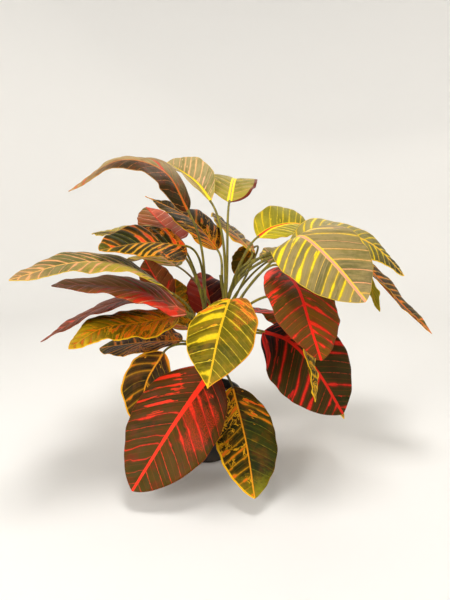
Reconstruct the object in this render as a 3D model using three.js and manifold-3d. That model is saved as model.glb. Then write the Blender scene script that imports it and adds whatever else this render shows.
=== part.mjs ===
// A potted croton: seven leafy stems with broad patterned leaves, standing in a small black tub of soil.
// Lengths are in millimetres and angles in degrees, with +Z up and the front towards -Y.
// The origin is on the floor, under the middle of the tub.

import * as THREE from "three";
import { mergeVertices } from "three/addons/utils/BufferGeometryUtils.js";
import Module from "manifold-3d";

const wasm = await Module();
wasm.setup();

const GAP = 0.3; // between neighbouring pieces
const MERGE_DISTANCE = 1e-4; // points closer than this are one point

// The tub: a tapered wall on a flat base, with a band round its rim.
const POT_HEIGHT = 116;
const POT_BASE_RADIUS = 45;
const POT_MOUTH_RADIUS = 58;
const POT_WALL = 2.4;
const POT_FLOOR = 3;
const POT_SIDES = 48;
const RIM_HEIGHT = 13;
const RIM_DEPTH = 2.6;
const RIM_ROUND = 1.2;

// The soil: it fills the tub to below the rim, and rises over a shoulder to a flat crown in the middle.
const SOIL_EDGE_HEIGHT = 101;
const SOIL_MOUND = 5;
const SOIL_SHOULDER = { radius: 0.7, height: 0.6 }; // as shares of the soil's radius and of its mound
const SOIL_CROWN = 0.35; // its radius, as a share of the soil's
const SOIL_SIDES = 40;

// The stems: one in the middle and six round it, each upright in its own hole in the soil.
const HOLE_RING_RADIUS = 17;
const HOLE_DEPTH = 62;
const HOLE_SIDES = 16;
const HOLE_CLEARANCE = 0.45;
const STALK_FOOT_HEIGHT = SOIL_EDGE_HEIGHT + SOIL_MOUND - HOLE_DEPTH;
const STALK_FOOT_RADIUS = 4.4;
const STALK_TIP_RADIUS = 3;
const STALK_SIDES = 8;
const STALK_STEP = 20;
const UPRIGHT_SHARES = [0, 0.35, 0.7, 1.15]; // of the hole's depth, where the stalk is still upright
const PETIOLE_ROOT_RADIUS = 2.7;
const PETIOLE_END_RADIUS = 1.7;
const PETIOLE_SIDES = 6;
const PETIOLE_STEP = 22;
const PETIOLE_HANDLE = 0.35; // how far its ends run straight, as a share of its reach

// The blades: thin leathery sheets with a stout midrib below.
const BLADE_THICKNESS = 0.9;
const MIDRIB_DEPTH = 2;
const MIDRIB_TIP_SHARE = 0.2; // of its depth, at the tip
const BLADE_ROWS = 9;
const BLADE_COLUMNS = 6;
const BLADE_FOOT_HALF_WIDTH = 2.2;
const BLADE_TIP_HALF_WIDTH = 0.9;
const OUTLINE = [0.62, 0.75]; // powers: how the outline swells from the foot, and narrows to the tip
const BLADE_DROOP = 0.12; // of the margin, as a share of the half width

// The margins' waves, in radians where they start.
const WAVE_HEIGHT = 1.8;
const WAVES = 3;
const WAVE_FADE = 0.12; // share of the length over which they fade at each end
const WAVE_LEAF_STEP = 1.7; // from a leaf to the next on its stem
const WAVE_HALF_STEP = 2; // from the left half to the right

// Each stem's hole is at the middle or at an angle on the ring, and its stalk then runs through the route.
// Each of its leaves has a colour, the height where its own stalk leaves the stem, and its midrib's points
// from foot to tip, then its width, its roll at the foot and at the tip, the lift of each half, and its own
// outline where that differs from the others'.
// A positive roll lifts the right half, as seen from above when looking from foot to tip.
const STEMS = {
  centre: {
    ring: null,
    route: [[8, 0, 160], [20, 0, 205], [32, 0, 265], [26, 2, 320]],
    leaves: [
      ["pale", 262, [[10, 0, 440], [-20, 60, 475], [-75, 120, 510]], 82, [15, 15], 45, [0.8, 0.7]],
      ["pale", 250, [[40, 5, 440], [50, 90, 480], [65, 180, 470]], 84, [-12, -8], 10],
      ["amber", 300, [[20, 25, 360], [-25, 45, 410], [-110, 85, 450]], 96, [5, 10], 10, [0.55, 1.4]],
    ],
  },
  left: {
    ring: 140,
    route: [[-9, 10, 150], [2, 9, 205], [0, 9, 240]],
    leaves: [
      ["red", 225, [[-25, -20, 425], [-60, -30, 485], [-125, -50, 500], [-195, -75, 455]], 90, [60, 5], 2],
      ["red", 215, [[-50, 50, 375], [-90, 110, 405], [-120, 150, 430]], 90, [3, 3], 5],
      ["amber", 230, [[-30, -15, 370], [-85, -70, 380], [-140, -130, 375]], 105, [50, 15], 8],
      ["pale", 220, [[-70, 0, 380], [-135, 35, 390], [-205, 75, 385]], 90, [8, 8], 10],
      ["red", 210, [[-65, 40, 270], [-90, 60, 300], [-115, 85, 335]], 60, [25, 25], 10],
      ["amber", 195, [[-35, 30, 225], [-55, 55, 260], [-60, 85, 300]], 75, [-5, -5], 10],
    ],
  },
  front_left: {
    ring: 200,
    route: [[-13, -7, 150], [-6, -14, 205], [-10, -18, 225]],
    leaves: [
      [
        "pale",
        215,
        [[-45, -85, 305], [-105, -110, 350], [-170, -150, 360], [-235, -200, 345]],
        105,
        [9, 9],
        8,
      ],
      [
        "red",
        210,
        [[-25, -80, 275], [-85, -100, 310], [-145, -125, 325], [-200, -155, 330]],
        106,
        [26, 5],
        8,
      ],
      ["red", 205, [[-55, -50, 280], [-115, -60, 290], [-180, -70, 270], [-250, -85, 230]], 90, [-5, 0], 8],
      [
        "amber",
        200,
        [[-40, -60, 265], [-95, -85, 260], [-145, -115, 260], [-185, -150, 240]],
        98,
        [18, 8],
        6,
      ],
      ["amber", 185, [[-40, -15, 210], [-105, 10, 200], [-195, 40, 180]], 103, [9, 12], 10],
      ["amber", 180, [[-65, -60, 205], [-95, -70, 150], [-95, -85, 80]], 80, [35, 35], 10],
    ],
  },
  front: {
    ring: 260,
    route: [[1, -19, 150], [12, -24, 195]],
    leaves: [
      ["red", 180, [[15, -85, 185], [-40, -130, 120], [-100, -175, 35]], 142, [30, 30], 10],
      ["amber", 170, [[45, -70, 150], [65, -115, 80], [75, -185, 30]], 98, [3, -6], 12],
      [
        "pale",
        190,
        [[45, -60, 275], [40, -105, 300], [25, -160, 265], [10, -195, 200]],
        105,
        [-5, -10],
        2,
        [1.8, 1.2],
      ],
    ],
  },
  front_right: {
    ring: 320,
    route: [[17, -12, 150], [28, -16, 205], [36, -20, 240]],
    leaves: [
      [
        "pale",
        230,
        [[125, -40, 365], [145, -75, 390], [180, -125, 360], [220, -165, 310]],
        132,
        [-10, -30],
        5,
      ],
      ["red", 222, [[120, -45, 340], [140, -100, 315], [150, -145, 275], [160, -185, 235]], 116, [10, 10], 7],
      ["red", 205, [[95, -45, 235], [135, -70, 225], [175, -95, 185], [215, -105, 120]], 135, [-31, -45], 3],
      ["amber", 212, [[125, -95, 290], [145, -135, 240], [160, -160, 165]], 60, [40, 40], 20],
      ["amber", 195, [[160, -20, 195], [200, -45, 150], [230, -60, 90]], 60, [0, 0], 10],
    ],
  },
  right: {
    ring: 20,
    route: [[19, 5, 150], [31, 9, 205], [37, 11, 270], [60, 17, 340]],
    leaves: [
      ["pale", 325, [[90, 45, 380], [120, 80, 395], [165, 120, 400], [215, 165, 385]], 90, [-35, -35], 20],
      [
        "pale",
        315,
        [[140, 12, 365], [190, 40, 395], [250, 60, 385], [305, 65, 360], [355, 55, 310]],
        97,
        [-5, -38],
        0,
      ],
      [
        "amber",
        285,
        [[200, -25, 365], [260, -25, 335], [320, -30, 275], [370, -40, 230]],
        94,
        [-12, -12],
        16,
      ],
      ["pale", 275, [[225, 0, 350], [270, 10, 320], [300, 10, 255]], 60, [0, 0], 5],
      ["pale", 310, [[80, 40, 355], [55, 80, 380], [10, 140, 420]], 70, [-20, -20], 5],
    ],
  },
  back: {
    ring: 80,
    route: [[7, 20, 150], [18, 25, 205]],
    leaves: [
      ["red", 195, [[10, 40, 230], [0, 80, 275], [-15, 130, 305]], 80, [0, 0], 10],
      ["amber", 165, [[10, 60, 190], [10, 130, 160], [5, 190, 70]], 95, [0, 0], 5],
      ["red", 185, [[85, 70, 240], [135, 130, 225], [180, 195, 160]], 100, [0, 0], 5],
      ["amber", 175, [[-30, 75, 205], [-100, 145, 215], [-180, 195, 185]], 100, [0, 0], 5],
      ["pale", 200, [[110, 90, 330], [160, 150, 350], [215, 215, 335]], 100, [0, 0], 5],
      ["pale", 190, [[-60, 115, 320], [-110, 165, 335], [-170, 220, 315]], 100, [0, 0], 5],
      ["amber", 180, [[85, 100, 355], [75, 110, 345], [50, 115, 305]], 42, [-60, -60], 5],
    ],
  },
};

const MATERIALS = {
  pale: new THREE.MeshStandardMaterial({ color: 0x8c8c32, roughness: 0.5, metalness: 0 }),
  amber: new THREE.MeshStandardMaterial({ color: 0x5a4812, roughness: 0.5, metalness: 0 }),
  red: new THREE.MeshStandardMaterial({ color: 0x7a2a1c, roughness: 0.5, metalness: 0 }),
  stem: new THREE.MeshStandardMaterial({ color: 0x4c5220, roughness: 0.6, metalness: 0 }),
  pot: new THREE.MeshStandardMaterial({ color: 0x141414, roughness: 0.5, metalness: 0 }),
  soil: new THREE.MeshStandardMaterial({ color: 0x33261b, roughness: 0.95, metalness: 0 }),
};

const { degToRad, lerp, smoothstep } = THREE.MathUtils;
const UP = new THREE.Vector3(0, 0, 1);
const vector = ([x, y, z]) => new THREE.Vector3(x, y, z);

// A closed geometry as a solid that can be joined and cut.
function solid(geometry) {
  const bare = geometry.clone();
  bare.deleteAttribute("normal");
  bare.deleteAttribute("uv");
  const merged = mergeVertices(bare, MERGE_DISTANCE);
  return new wasm.Manifold(
    new wasm.Mesh({
      numProp: 3,
      vertProperties: merged.attributes.position.array,
      triVerts: new Uint32Array(merged.index.array),
    }),
  );
}

function geometryOf(body) {
  const mesh = body.getMesh();
  const geometry = new THREE.BufferGeometry();
  geometry.setAttribute("position", new THREE.BufferAttribute(mesh.vertProperties, 3));
  geometry.setIndex(new THREE.BufferAttribute(mesh.triVerts, 1));
  geometry.computeVertexNormals();
  return geometry;
}

function indexed(points, faces) {
  const geometry = new THREE.BufferGeometry().setFromPoints(points);
  geometry.setIndex(faces);
  geometry.computeVertexNormals();
  return geometry;
}

// A turned shape about the Z axis from [radius, height] pairs that run up the outside.
function turned(outline, sides) {
  const points = outline.map(([radius, height]) => new THREE.Vector2(radius, height));
  return new THREE.LatheGeometry(points, sides).rotateX(Math.PI / 2);
}

const potOuterRadius = (z) => lerp(POT_BASE_RADIUS, POT_MOUTH_RADIUS, z / POT_HEIGHT);
const potInnerRadius = (z) => potOuterRadius(z) - POT_WALL;

function potGeometry() {
  const bandFoot = POT_HEIGHT - RIM_HEIGHT;
  const band = potOuterRadius(POT_HEIGHT) + RIM_DEPTH;
  return turned(
    [
      [0, 0],
      [POT_BASE_RADIUS - RIM_ROUND, 0],
      [potOuterRadius(RIM_ROUND), RIM_ROUND],
      [potOuterRadius(bandFoot), bandFoot],
      [band, bandFoot + RIM_ROUND],
      [band, POT_HEIGHT - RIM_ROUND],
      [band - RIM_ROUND, POT_HEIGHT],
      [potInnerRadius(POT_HEIGHT), POT_HEIGHT],
      [potInnerRadius(POT_FLOOR), POT_FLOOR],
      [0, POT_FLOOR],
    ],
    POT_SIDES,
  );
}

function soilGeometry(holes) {
  const foot = POT_FLOOR + GAP;
  const top = SOIL_EDGE_HEIGHT + SOIL_MOUND;
  // The soil's corners stay inside the tub's flats, which lie nearer the axis than the tub's corners.
  const clearance = GAP + potInnerRadius(SOIL_EDGE_HEIGHT) * (1 - Math.cos(Math.PI / POT_SIDES));
  const edge = potInnerRadius(SOIL_EDGE_HEIGHT) - clearance;
  let body = solid(
    turned(
      [
        [0, foot],
        [potInnerRadius(foot) - clearance, foot],
        [edge, SOIL_EDGE_HEIGHT],
        [edge * SOIL_SHOULDER.radius, SOIL_EDGE_HEIGHT + SOIL_MOUND * SOIL_SHOULDER.height],
        [edge * SOIL_CROWN, top],
        [0, top],
      ],
      SOIL_SIDES,
    ),
  );
  const radius = STALK_FOOT_RADIUS + HOLE_CLEARANCE;
  const length = 2 * HOLE_DEPTH; // well past the soil's surface
  for (const [x, y] of holes) {
    const drill = new THREE.CylinderGeometry(radius, radius, length, HOLE_SIDES);
    drill.rotateX(Math.PI / 2).translate(x, y, STALK_FOOT_HEIGHT - GAP + length / 2);
    body = body.subtract(solid(drill));
  }
  return geometryOf(body);
}

// A closed rod along a curve, whose radius goes evenly from one value to another.
function rod(curve, rootRadius, endRadius, sides, stepLength) {
  const steps = Math.max(3, Math.round(curve.getLength() / stepLength));
  const { normals, binormals } = curve.computeFrenetFrames(steps);
  const points = [];
  for (let i = 0; i <= steps; i++) {
    const centre = curve.getPointAt(i / steps);
    const radius = lerp(rootRadius, endRadius, i / steps);
    for (let k = 0; k < sides; k++) {
      const angle = (2 * Math.PI * k) / sides;
      const point = centre.clone().addScaledVector(normals[i], radius * Math.cos(angle));
      points.push(point.addScaledVector(binormals[i], radius * Math.sin(angle)));
    }
  }
  const faces = [];
  for (let i = 0; i < steps; i++)
    for (let k = 0; k < sides; k++) {
      const a = i * sides + k;
      const b = i * sides + ((k + 1) % sides);
      faces.push(a, b, b + sides, a, b + sides, a + sides);
    }
  const last = steps * sides;
  for (let k = 1; k < sides - 1; k++) faces.push(0, k + 1, k, last, last + k, last + k + 1);
  return indexed(points, faces);
}

// The midrib runs through its points, as a smooth curve.
function midrib([, , points]) {
  return new THREE.CatmullRomCurve3(points.map(vector), false, "catmullrom");
}

// Half the blade's width at a share of its length: broad and round below, drawn out to a point above.
function halfWidth(share, width, [footPower, tipPower]) {
  const widest = footPower / (footPower + tipPower);
  const swell = (s) => s ** footPower * (1 - s) ** tipPower;
  const ends = lerp(BLADE_FOOT_HALF_WIDTH, BLADE_TIP_HALF_WIDTH, share);
  return Math.max(ends, (width / 2) * (swell(share) / swell(widest)));
}

// A blade on its midrib: each half slants up by the lift and droops towards its waved margin.
function bladeGeometry(leaf, phase) {
  const [, , points, width, [rollFoot, rollTip], liftDegrees, outline = OUTLINE] = leaf;
  const spine = midrib(leaf);
  const lift = degToRad(liftDegrees);
  const across = vector(points.at(-1)).sub(vector(points[0])).cross(UP).normalize();
  const top = [];
  const below = [];
  for (let i = 0; i <= BLADE_ROWS; i++) {
    const s = (1 - Math.cos((Math.PI * i) / BLADE_ROWS)) / 2; // closer rows at both ends
    const along = spine.getTangentAt(s);
    const roll = degToRad(lerp(rollTip, rollFoot, (1 - s) ** 2));
    const side = across.clone().addScaledVector(along, -across.dot(along)).normalize();
    side.applyAxisAngle(along, -roll);
    const normal = side.clone().cross(along);
    const half = halfWidth(s, width, outline);
    const fade = smoothstep(s, 0, WAVE_FADE) * smoothstep(1 - s, 0, WAVE_FADE);
    for (let j = 0; j <= BLADE_COLUMNS; j++) {
      const q = (2 * j) / BLADE_COLUMNS - 1; // -1 and 1 at the margins, 0 on the midrib
      const start = phase + (q > 0 ? WAVE_HALF_STEP : 0);
      const wave = WAVE_HEIGHT * q * q * Math.sin(2 * Math.PI * WAVES * s + start);
      const rise = half * (Math.abs(q) * Math.sin(lift) - BLADE_DROOP * q * q);
      const point = spine.getPointAt(s).addScaledVector(side, q * half * Math.cos(lift));
      point.addScaledVector(normal, rise + fade * wave);
      const keel = q === 0 ? MIDRIB_DEPTH * lerp(1, MIDRIB_TIP_SHARE, s) : 0;
      top.push(point);
      below.push(point.clone().addScaledVector(normal, -BLADE_THICKNESS - keel));
    }
  }
  return sheet(top, below);
}

// A closed sheet from two like grids of points, with the same triangles on both faces.
function sheet(top, below) {
  const columns = BLADE_COLUMNS + 1;
  const offset = top.length;
  const faces = [];
  for (let i = 0; i < BLADE_ROWS; i++)
    for (let j = 0; j < BLADE_COLUMNS; j++) {
      const a = i * columns + j;
      const [b, c, d] = [a + 1, a + columns, a + columns + 1];
      const halves = j < BLADE_COLUMNS / 2 ? [[a, b, d], [a, d, c]] : [[a, b, c], [b, d, c]];
      for (const [x, y, z] of halves) faces.push(x, y, z, x + offset, z + offset, y + offset);
    }
  const edge = [];
  for (let j = 0; j < BLADE_COLUMNS; j++) edge.push(j);
  for (let i = 0; i < BLADE_ROWS; i++) edge.push(i * columns + BLADE_COLUMNS);
  for (let j = BLADE_COLUMNS; j > 0; j--) edge.push(BLADE_ROWS * columns + j);
  for (let i = BLADE_ROWS; i > 0; i--) edge.push(i * columns);
  edge.forEach((a, k) => {
    const b = edge[(k + 1) % edge.length];
    faces.push(a, a + offset, b + offset, a, b + offset, b);
  });
  return indexed(top.concat(below), faces);
}

function holePlace(ring) {
  if (ring === null) return [0, 0];
  const angle = degToRad(ring);
  return [HOLE_RING_RADIUS * Math.cos(angle), HOLE_RING_RADIUS * Math.sin(angle)];
}

// The stalk stands upright in its hole and a little above it before it leans to its route.
function stalkCurve({ ring, route }) {
  const [x, y] = holePlace(ring);
  const upright = UPRIGHT_SHARES.map((share) => [x, y, STALK_FOOT_HEIGHT + share * HOLE_DEPTH]);
  return new THREE.CatmullRomCurve3([...upright, ...route].map(vector));
}

// The point and direction of a rising curve at a height, found by halving.
function atHeight(curve, height) {
  const halvings = 30;
  let [low, high] = [0, 1];
  for (let i = 0; i < halvings; i++) {
    const middle = (low + high) / 2;
    if (curve.getPointAt(middle).z < height) low = middle;
    else high = middle;
  }
  return { point: curve.getPointAt(low), direction: curve.getTangentAt(low) };
}

// A leaf's stalk leaves the stem along the stem's own direction and meets the blade along its midrib.
function petioleCurve(stalk, leaf) {
  const [, height, points] = leaf;
  const { point, direction } = atHeight(stalk, height);
  const inward = midrib(leaf).getTangent(0).negate();
  const end = vector(points[0]).addScaledVector(inward, GAP);
  const handle = PETIOLE_HANDLE * end.distanceTo(point);
  return new THREE.CubicBezierCurve3(
    point,
    point.clone().addScaledVector(direction, handle),
    end.clone().addScaledVector(inward, handle),
    end,
  );
}

function stemGeometry(stem) {
  const stalk = stalkCurve(stem);
  let body = solid(rod(stalk, STALK_FOOT_RADIUS, STALK_TIP_RADIUS, STALK_SIDES, STALK_STEP));
  for (const leaf of stem.leaves) {
    const path = petioleCurve(stalk, leaf);
    const petiole = rod(path, PETIOLE_ROOT_RADIUS, PETIOLE_END_RADIUS, PETIOLE_SIDES, PETIOLE_STEP);
    body = body.add(solid(petiole));
  }
  return geometryOf(body);
}

const croton = new THREE.Group();

function place(name, geometry, material) {
  const mesh = new THREE.Mesh(geometry, material);
  mesh.name = name;
  croton.add(mesh);
}

const holes = Object.values(STEMS).map(({ ring }) => holePlace(ring));
place("pot", potGeometry(), MATERIALS.pot);
place("soil", soilGeometry(holes), MATERIALS.soil);
for (const [side, stem] of Object.entries(STEMS)) {
  place(`stem_${side}`, stemGeometry(stem), MATERIALS.stem);
  stem.leaves.forEach((leaf, number) => {
    const [colour] = leaf;
    place(`leaf_${side}_${number + 1}`, bladeGeometry(leaf, WAVE_LEAF_STEP * number), MATERIALS[colour]);
  });
}

export default croton;
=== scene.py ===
"""The looks of a potted croton: patterned leaves, stems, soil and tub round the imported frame.

Everything is in metres with +Z up and the front towards -Y. Shapes are stated in millimetres and scaled.
"""

import math
import random

import bpy
import numpy as np
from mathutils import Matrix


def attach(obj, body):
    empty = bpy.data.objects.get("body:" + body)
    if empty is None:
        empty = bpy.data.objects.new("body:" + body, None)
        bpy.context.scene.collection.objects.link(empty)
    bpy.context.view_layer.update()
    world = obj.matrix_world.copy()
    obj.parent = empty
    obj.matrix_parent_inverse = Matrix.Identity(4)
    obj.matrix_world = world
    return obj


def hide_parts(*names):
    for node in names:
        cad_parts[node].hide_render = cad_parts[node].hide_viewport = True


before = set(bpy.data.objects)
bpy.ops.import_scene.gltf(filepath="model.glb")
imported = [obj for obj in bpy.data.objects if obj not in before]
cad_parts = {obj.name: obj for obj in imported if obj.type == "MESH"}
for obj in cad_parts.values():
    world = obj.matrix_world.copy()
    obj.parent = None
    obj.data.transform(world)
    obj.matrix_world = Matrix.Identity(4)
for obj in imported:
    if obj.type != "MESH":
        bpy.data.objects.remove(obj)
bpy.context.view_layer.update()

MM = 0.001
BODY = "root"

# ---- the plant, as its solids have it

POT_HEIGHT = 116
POT_BASE_RADIUS = 45
POT_MOUTH_RADIUS = 58
POT_WALL = 2.4
POT_FLOOR = 3
RIM_HEIGHT = 13
RIM_DEPTH = 2.6
SOIL_EDGE_HEIGHT = 101
SOIL_MOUND = 5
HOLE_RING_RADIUS = 17
HOLE_DEPTH = 62
STALK_FOOT_HEIGHT = SOIL_EDGE_HEIGHT + SOIL_MOUND - HOLE_DEPTH
STALK_FOOT_RADIUS = 4.4
STALK_TIP_RADIUS = 3
UPRIGHT_SHARES = (0, 0.35, 0.7, 1.15)
PETIOLE_ROOT_RADIUS = 2.7
PETIOLE_END_RADIUS = 1.7
PETIOLE_HANDLE = 0.35
BLADE_THICKNESS = 0.7
MIDRIB_DEPTH = 2
MIDRIB_TIP_SHARE = 0.2
BLADE_FOOT_HALF_WIDTH = 2.2
BLADE_TIP_HALF_WIDTH = 0.9
OUTLINE = (0.62, 0.75)
BLADE_DROOP = 0.12
WAVE_HEIGHT = 1.8
WAVES = 3
WAVE_FADE = 0.12
WAVE_LEAF_STEP = 1.7
WAVE_HALF_STEP = 2

# Each stem: the angle of its hole on the ring, its stalk's route, and its leaves. Each leaf: its look, the
# height where its stalk leaves the stem, its midrib's points, width, roll at foot and tip, lift, and its own
# outline where that differs from the others'.
STEMS = {
    "centre": (None, [(8, 0, 160), (20, 0, 205), (32, 0, 265), (26, 2, 320)], [
        ("sage_top", 262, [(10, 0, 440), (-20, 60, 475), (-75, 120, 510)], 82, (15, 15), 45, (0.8, 0.7)),
        ("sage_cap", 250, [(40, 5, 440), (50, 90, 480), (65, 180, 470)], 84, (-12, -8), 10),
        ("ember_tall", 300, [(20, 25, 360), (-25, 45, 410), (-110, 85, 450)], 96, (5, 10), 10, (0.55, 1.4)),
    ]),
    "left": (140, [(-9, 10, 150), (2, 9, 205), (0, 9, 240)], [
        ("arch", 225, [(-25, -20, 425), (-60, -30, 485), (-125, -50, 500), (-195, -75, 455)],
         90, (60, 5), 2),
        ("rose", 215, [(-50, 50, 375), (-90, 110, 405), (-120, 150, 430)], 90, (3, 3), 5),
        ("flame", 230, [(-30, -15, 370), (-85, -70, 380), (-140, -130, 375)], 105, (50, 15), 8),
        ("olive_far", 220, [(-70, 0, 380), (-135, 35, 390), (-205, 75, 385)], 90, (8, 8), 10),
        ("plum", 210, [(-65, 40, 270), (-90, 60, 300), (-115, 85, 335)], 60, (25, 25), 10),
        ("gold_low", 195, [(-35, 30, 225), (-55, 55, 260), (-60, 85, 300)], 75, (-5, -5), 10),
    ]),
    "front_left": (200, [(-13, -7, 150), (-6, -14, 205), (-10, -18, 225)], [
        ("sage_left", 215, [(-45, -85, 305), (-105, -110, 350), (-170, -150, 360), (-235, -200, 345)],
         105, (9, 9), 8),
        ("plum_wide", 210, [(-25, -80, 275), (-85, -100, 310), (-145, -125, 325), (-200, -155, 330)],
         106, (26, 5), 8),
        ("russet", 205, [(-55, -50, 280), (-115, -60, 290), (-180, -70, 270), (-250, -85, 230)],
         90, (-5, 0), 8),
        ("gold", 200, [(-40, -60, 265), (-95, -85, 260), (-145, -115, 260), (-185, -150, 240)],
         98, (18, 8), 6),
        ("ember", 185, [(-40, -15, 210), (-105, 10, 200), (-195, 40, 180)], 103, (9, 12), 10),
        ("ember_rim", 180, [(-65, -60, 205), (-95, -70, 150), (-95, -85, 80)], 80, (35, 35), 10),
    ]),
    "front": (260, [(1, -19, 150), (12, -24, 195)], [
        ("scarlet_front", 180, [(15, -85, 185), (-40, -130, 120), (-100, -175, 35)], 142, (30, 30), 10),
        ("ember_front", 170, [(45, -70, 150), (65, -115, 80), (75, -185, 30)], 98, (3, -6), 12),
        ("olive_front", 190, [(45, -60, 275), (40, -105, 300), (25, -160, 265), (10, -195, 200)],
         105, (-5, -10), 2, (1.8, 1.2)),
    ]),
    "front_right": (320, [(17, -12, 150), (28, -16, 205), (36, -20, 240)], [
        ("sage_wide", 230, [(125, -40, 365), (145, -75, 390), (180, -125, 360), (220, -165, 310)],
         132, (-10, -30), 5),
        ("scarlet", 222, [(120, -45, 340), (140, -100, 315), (150, -145, 275), (160, -185, 235)],
         116, (10, 10), 7),
        ("scarlet_low", 205, [(95, -45, 235), (135, -70, 225), (175, -95, 185), (215, -105, 120)],
         135, (-31, -45), 3),
        ("gold_narrow", 212, [(125, -95, 290), (145, -135, 240), (160, -160, 165)], 60, (40, 40), 20),
        ("gold_narrow", 195, [(160, -20, 195), (200, -45, 150), (230, -60, 90)], 60, (0, 0), 10),
    ]),
    "right": (20, [(19, 5, 150), (31, 9, 205), (37, 11, 270), (60, 17, 340)], [
        ("sage_right", 325, [(90, 45, 380), (120, 80, 395), (165, 120, 400), (215, 165, 385)],
         90, (-35, -35), 20),
        ("sage_far", 315, [(140, 12, 365), (190, 40, 395), (250, 60, 385), (305, 65, 360), (355, 55, 310)],
         97, (-5, -38), 0),
        ("ember_right", 285, [(200, -25, 365), (260, -25, 335), (320, -30, 275), (370, -40, 230)],
         94, (-12, -12), 16),
        ("olive_light", 275, [(225, 0, 350), (270, 10, 320), (300, 10, 255)], 60, (0, 0), 5),
        ("olive_edge", 310, [(80, 40, 355), (55, 80, 380), (10, 140, 420)], 70, (-20, -20), 5),
    ]),
    "back": (80, [(7, 20, 150), (18, 25, 205)], [
        ("plum_back", 195, [(10, 40, 230), (0, 80, 275), (-15, 130, 305)], 80, (0, 0), 10),
        ("ember", 165, [(10, 60, 190), (10, 130, 160), (5, 190, 70)], 95, (0, 0), 5),
        ("scarlet", 185, [(85, 70, 240), (135, 130, 225), (180, 195, 160)], 100, (0, 0), 5),
        ("gold", 175, [(-30, 75, 205), (-100, 145, 215), (-180, 195, 185)], 100, (0, 0), 5),
        ("sage_wide", 200, [(110, 90, 330), (160, 150, 350), (215, 215, 335)], 100, (0, 0), 5),
        ("sage_left", 190, [(-60, 115, 320), (-110, 165, 335), (-170, 220, 315)], 100, (0, 0), 5),
        ("ember_brown", 180, [(85, 100, 355), (75, 110, 345), (50, 115, 305)], 42, (-60, -60), 5),
    ]),
}

# ---- how each kind of leaf is patterned

# Colours are screen colours and sizes millimetres. A value may differ between the halves of a blade, and is
# then a list of the left one and the right one, seen from the foot.
# shades: the two colours of the panels between the veins.
# foot, tip: a colour that the panels turn to there, how much, and over what share of the blade.
# pitch: from vein to vein along the midrib. split: that many veins for one.
# slant: how far a vein runs on towards the tip for each step outwards.
# line: every vein's colour. band: the wide veins' outer and inner colour. strong: the share of wide veins.
# widths: of a line, of a band, of the wedge that a band may end in, and of the places where it runs.
# outward: the share of the wedges that open to the margin; the others open to the midrib.
# full: where bands and blotches are fullest, as shares of the length and of the half's width, how far that
# reaches along the blade, and what is left of them beyond.
# blotch: its outer and inner colour, and how much of the foot and of the tip it takes.
# wash: the colour of the soft clouds on the panels, and how much they take.
# speckle: the colour of the fine spots where the blade is fullest, and how much they take there.
# net: the fine mottling's colour and amounts, as for the blotches.
# midrib: its colour and its width at the foot and at the tip. border: its side band's colour and width.
# margin: the edge band's colour, width and the share of the edge that it takes.
# ripple: how far the panels stand up.
def both(value):
    """The value for the left half and for the right."""
    return value if isinstance(value, list) else [value, value]


PLAIN = {
    "shades": ("5e360c", "3a2e04"), "foot": ("2a0e08", 0.8, 0.35), "tip": ("5a3a10", 0, 0.2), "pitch": 19,
    "split": 1, "slant": 0.62, "line": "d0381c", "band": ("a82c16", "f0341a"), "strong": 0.55,
    "widths": (0.7, 1.5, 4, 3), "outward": 0.5, "full": (0.4, 0.5, 1, 1),
    "blotch": ("dc3018", "ee341a", 0.15, 0), "wash": ("7a1c0e", 0.5), "speckle": ("e83018", 0),
    "net": ("d0381c", 0, 0), "midrib": ("f03018", 8, 3), "border": ("f03018", 0),
    "margin": ("8a3c14", 0.5, 0.6), "ripple": 0.9,
}


def like(look, **changes):
    return {**look, **changes}


PLUM = like(
    PLAIN, shades=("7a4620", "52301a"), foot=("7a1c14", 0.6, 0.45), line="b8643c",
    band=("c43a1e", "d42c1c"), strong=0.35, blotch=("b83018", "d02c1c", 0.3, 0), midrib=("dc3c28", 6, 2),
)
SAGE = like(
    PLAIN, shades=("948850", "7e7642"), foot=("a89a20", 0.5, 0.3), tip=("a8936a", 0.4, 0.3), pitch=16,
    line="dc9a5c", band=("c8aa1c", "f4d81c"), strong=0.85, widths=(1, 1.5, 2.5, 1.5),
    blotch=("e8cc20", "f4dc24", 0.1, 0), wash=("5e5c1c", 0.5), midrib=("e8925c", 5, 2.5),
    border=("f4dc20", 1.2), margin=("d8b43c", 0.7, 0.7),
)
OLIVE = like(
    SAGE, shades=("847410", "67600a"), foot=("9a7a10", 0.5, 0.4), tip=("9a8c10", 0.3, 0.3), line="d0b830",
    band=("b89a14", "eca820"), strong=0.3, blotch=("e8a01c", "e05a1c", 0.3, 0.1), wash=("b8801c", 0.45),
    midrib=("eca81c", 3.5, 1.8), border=("e8c81c", 0.5),
)
# Its near-black panels are partly painted shade, as of a leaf lying in shadow.
EMBER = like(
    PLAIN, shades=("3a2a04", "201802"), foot=("340f02", 0.6, 0.4), tip=("7a7410", 0.5, 0.2), pitch=15,
    line="9a7410", band=("b0780c", "ec6c12"), widths=(0.8, 1.8, 2.5, 2.6),
    blotch=("dc8810", "e24c16", 0.3, 0.08), net=("d47810", 0.55, 0.1), wash=("7a4208", 0.5),
    midrib=("e89018", 3.5, 2), margin=("e8a818", 1.2, 0.5),
)

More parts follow.
